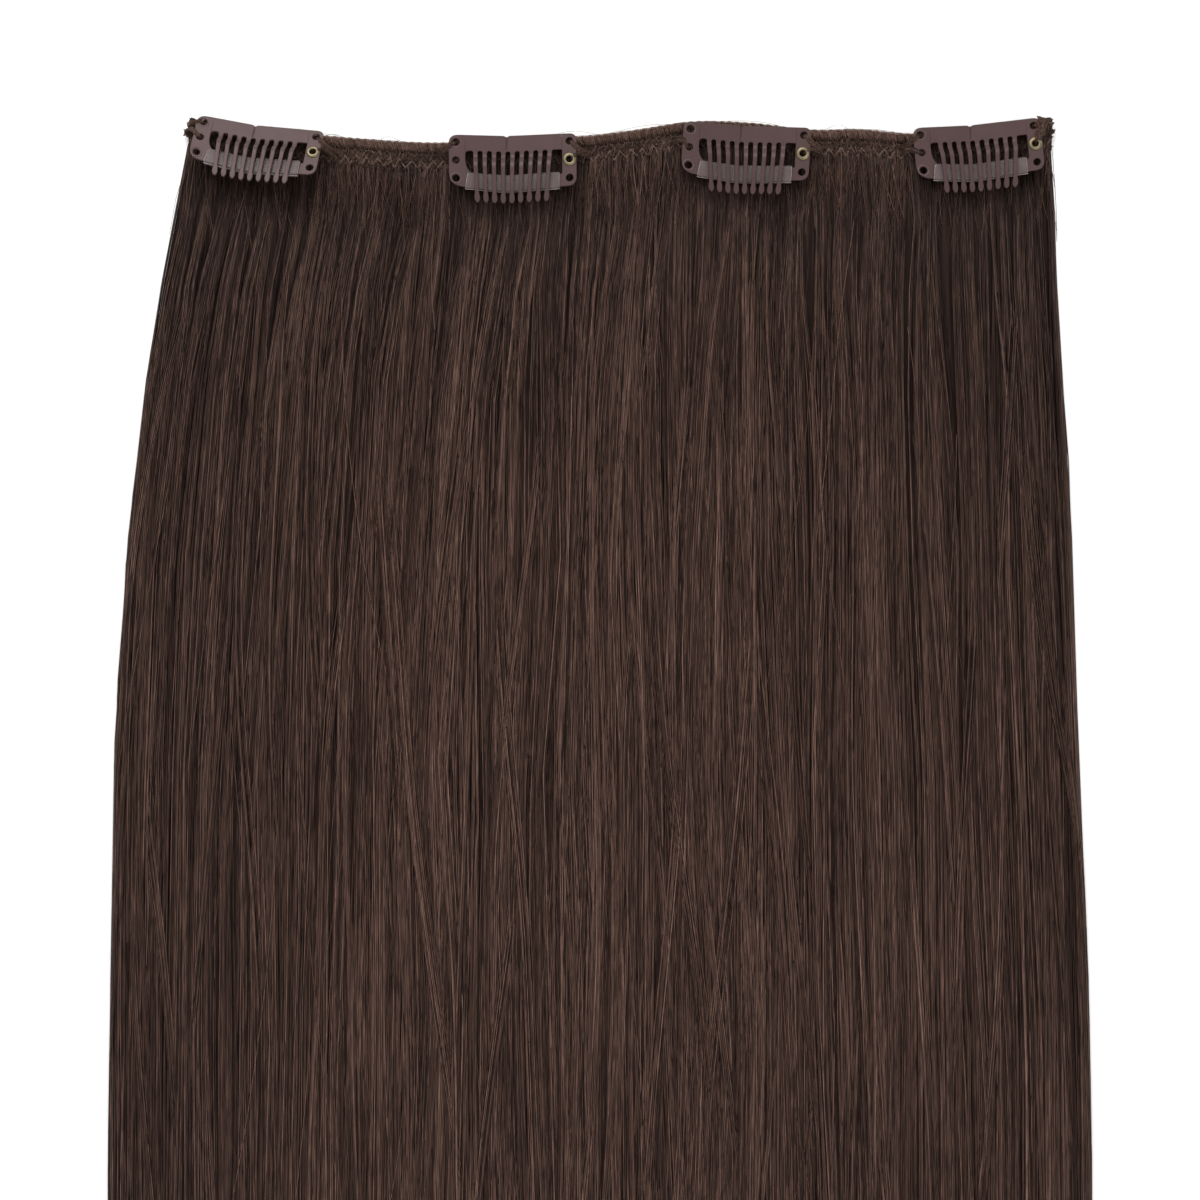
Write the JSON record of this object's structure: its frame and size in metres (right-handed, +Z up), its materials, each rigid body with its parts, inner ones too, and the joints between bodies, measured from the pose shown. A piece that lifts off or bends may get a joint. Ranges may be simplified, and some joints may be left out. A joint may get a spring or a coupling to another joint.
{
  "type": "clip in hair extension weft",
  "caption": "Wide straight hair weft lying flat, with comb-type snap clips along its sewn track; each clip's comb lifts to open.",
  "frame": {"origin": "on the surface it lies on, under the middle of the whole part", "axes": "+Z up from the surface, out of the clip side; +Y from the hair's tips to the sewn track; +X to the right seen from above with the track away from the viewer"},
  "size_m": [0.2494, 0.458, 0.0111],
  "materials": {
    "hair": "soft sheen along straight strands",
    "track_thread": "matte sewn thread and hair",
    "painted_steel": "satin brown-mauve paint",
    "silicone": "translucent silicone",
    "brass": "polished pale brass"
  },
  "bodies": {
    "weft": {"weft_band": "track_thread", "hair": "hair", "clip_frame_1": "painted_steel", "clip_frame_2": "painted_steel", "clip_frame_3": "painted_steel", "clip_frame_4": "painted_steel", "clip_sleeve_1": "silicone", "clip_sleeve_2": "silicone", "clip_sleeve_3": "silicone", "clip_sleeve_4": "silicone", "clip_eyelet_1": "brass", "clip_eyelet_2": "brass", "clip_eyelet_3": "brass", "clip_eyelet_4": "brass"},
    "comb_1": {"clip_comb_1": "painted_steel"},
    "comb_2": {"clip_comb_2": "painted_steel"},
    "comb_3": {"clip_comb_3": "painted_steel"},
    "comb_4": {"clip_comb_4": "painted_steel"}
  },
  "joints": [
    {"name": "comb_1_open", "type": "hinge", "parent": "weft", "child": "comb_1", "pos_m": [-0.08539, 0.22646, 0.0026], "axis": [-0.9907, 0.1357, 0], "range_deg": [0, 40]},
    {"name": "comb_2_open", "type": "hinge", "parent": "weft", "child": "comb_2", "pos_m": [-0.02201, 0.224, 0.00325], "axis": [-1, -0.0087, 0], "range_deg": [0, 40]},
    {"name": "comb_3_open", "type": "hinge", "parent": "weft", "child": "comb_3", "pos_m": [0.0372, 0.22642, 0.0033], "axis": [-0.9983, 0.0576, 0], "range_deg": [0, 40]},
    {"name": "comb_4_open", "type": "hinge", "parent": "weft", "child": "comb_4", "pos_m": [0.09476, 0.22678, 0.00318], "axis": [-0.9968, -0.0802, 0], "range_deg": [0, 40]}
  ]
}
